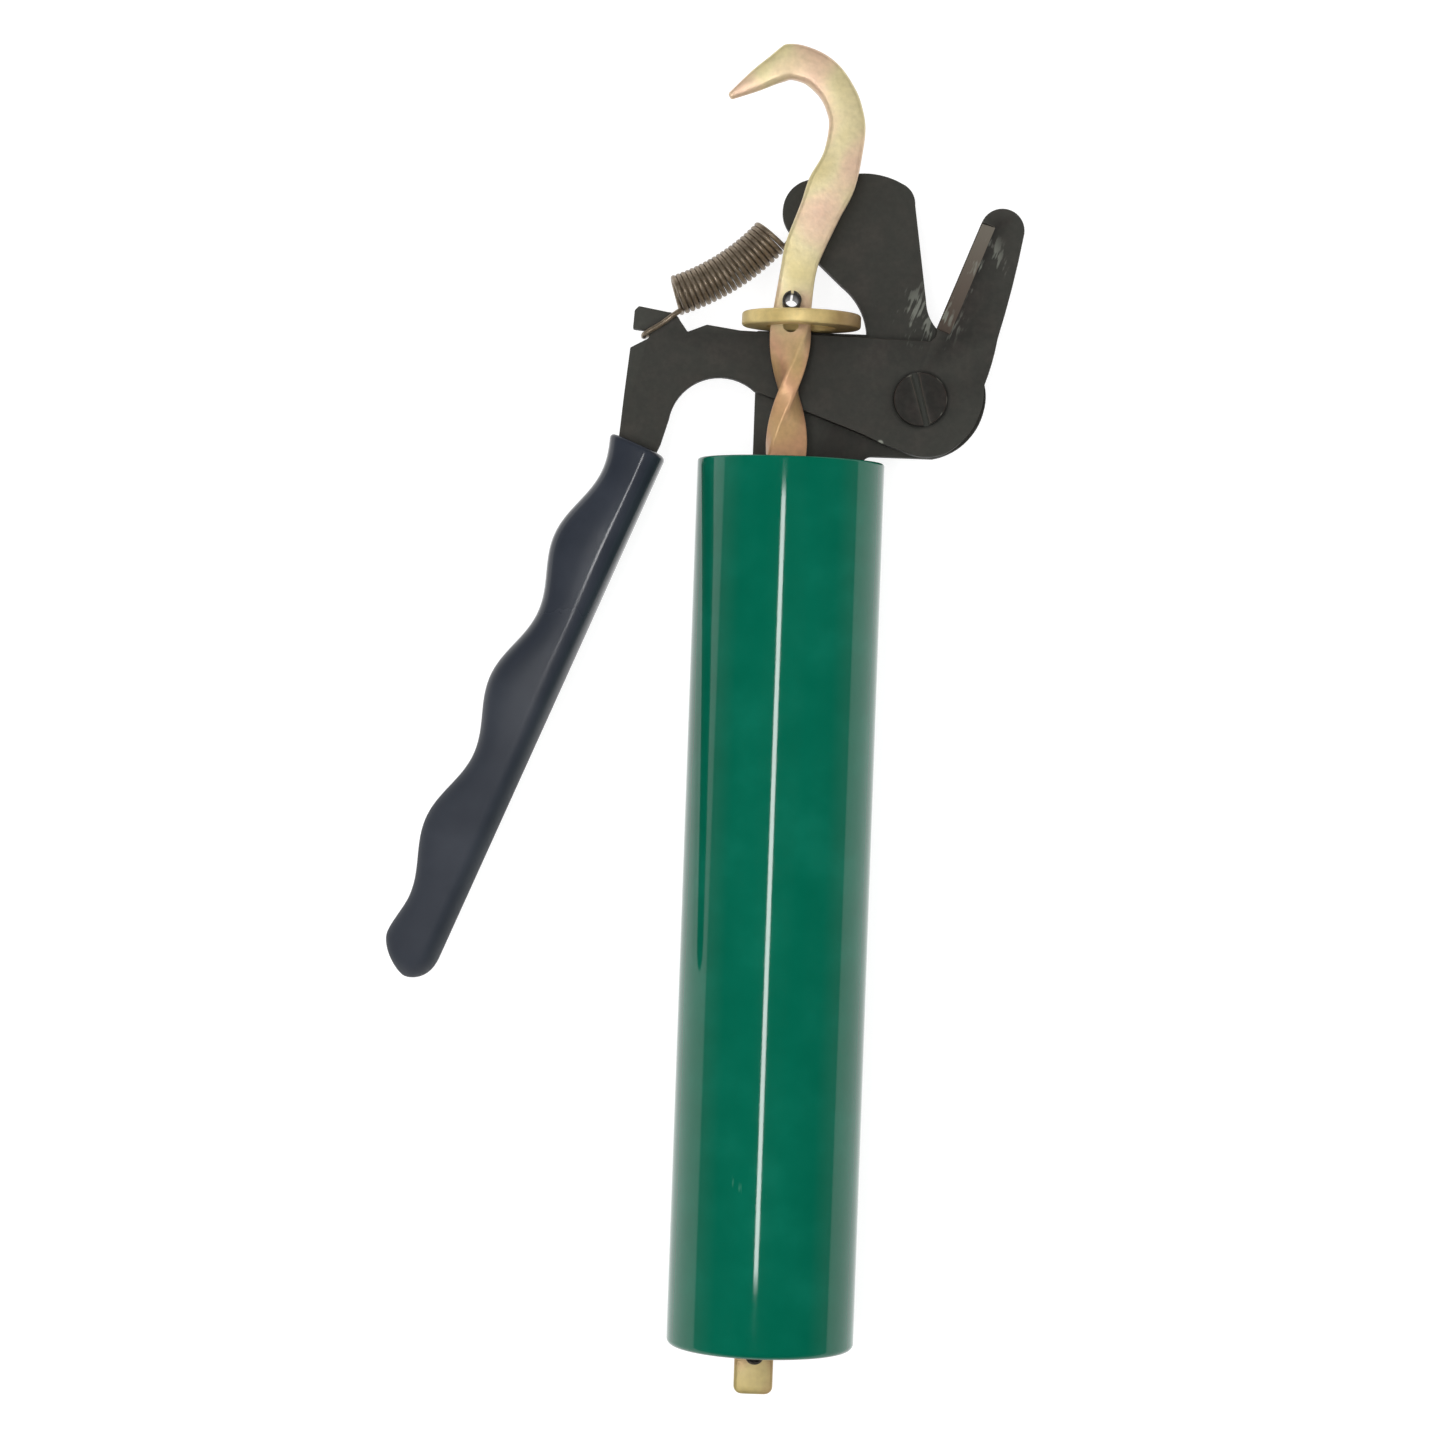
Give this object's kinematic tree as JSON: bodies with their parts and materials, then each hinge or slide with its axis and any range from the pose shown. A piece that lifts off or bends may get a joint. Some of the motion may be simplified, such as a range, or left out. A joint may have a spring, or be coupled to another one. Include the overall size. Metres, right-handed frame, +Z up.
{
  "type": "wire twister with cutter",
  "caption": "Pull-type wire twister: a hook on a twisted bar sliding through a tube handle, with a squeeze lever that works a shear cutter beside the tube's mouth.",
  "frame": {"origin": "on the handle tube's axis at its tail end", "axes": "+Y up the tube towards the hook, +X towards the cutter, +Z up from the table with the tool on its back"},
  "size_m": [0.0984, 0.2151, 0.03],
  "materials": {
    "green_enamel": "gloss",
    "yellow_zinc_steel": "satin",
    "black_oxide_steel": "satin",
    "spring_steel": "satin",
    "pvc_dip": "semi-gloss",
    "bright_zinc_steel": "satin",
    "brass": "machined"
  },
  "bodies": {
    "handle": {"handle_tube": "green_enamel", "head_plug": "bright_zinc_steel", "drive_nut": "brass", "nut_lock_pin": "spring_steel", "tang_screws": "bright_zinc_steel", "fixed_jaw": "black_oxide_steel", "pivot_screw": "black_oxide_steel", "pivot_shim": "brass", "pivot_washer": "bright_zinc_steel", "pivot_nut": "bright_zinc_steel", "stop_washer": "yellow_zinc_steel", "lever_spring": "spring_steel", "return_spring": "spring_steel"},
    "lever": {"lever_plate": "black_oxide_steel", "lever_grip": "pvc_dip"},
    "carriage": {"spring_seat": "bright_zinc_steel", "thrust_washer": "bright_zinc_steel"},
    "rod": {"hook_rod": "yellow_zinc_steel", "upper_stop_pin": "spring_steel", "lower_stop_pin": "spring_steel"}
  },
  "joints": [
    {"name": "lever_squeeze", "type": "hinge", "parent": "handle", "child": "lever", "pos_m": [0.02033, 0.15263, -0.0019], "axis": [0, 0, 1], "range_deg": [0, 17], "stiffness_Nm_per_rad": 0.6, "springref_deg": -11.46, "deforming": ["lever_spring"]},
    {"name": "rod_pull", "type": "slide", "parent": "handle", "child": "carriage", "axis": [0, 1, 0], "range_m": [0, 0.098], "stiffness_N_per_m": 57, "springref_m": -0.05, "deforming": ["return_spring"]},
    {"name": "hook_spin", "type": "hinge", "parent": "carriage", "child": "rod", "pos_m": [-0.0009, 0, 0.00379], "axis": [0, 1, 0], "range_deg": [0, 785]}
  ],
  "couplings": [
    {"joint": "hook_spin", "follows": "rod_pull", "rad_per_m": 139.63}
  ]
}
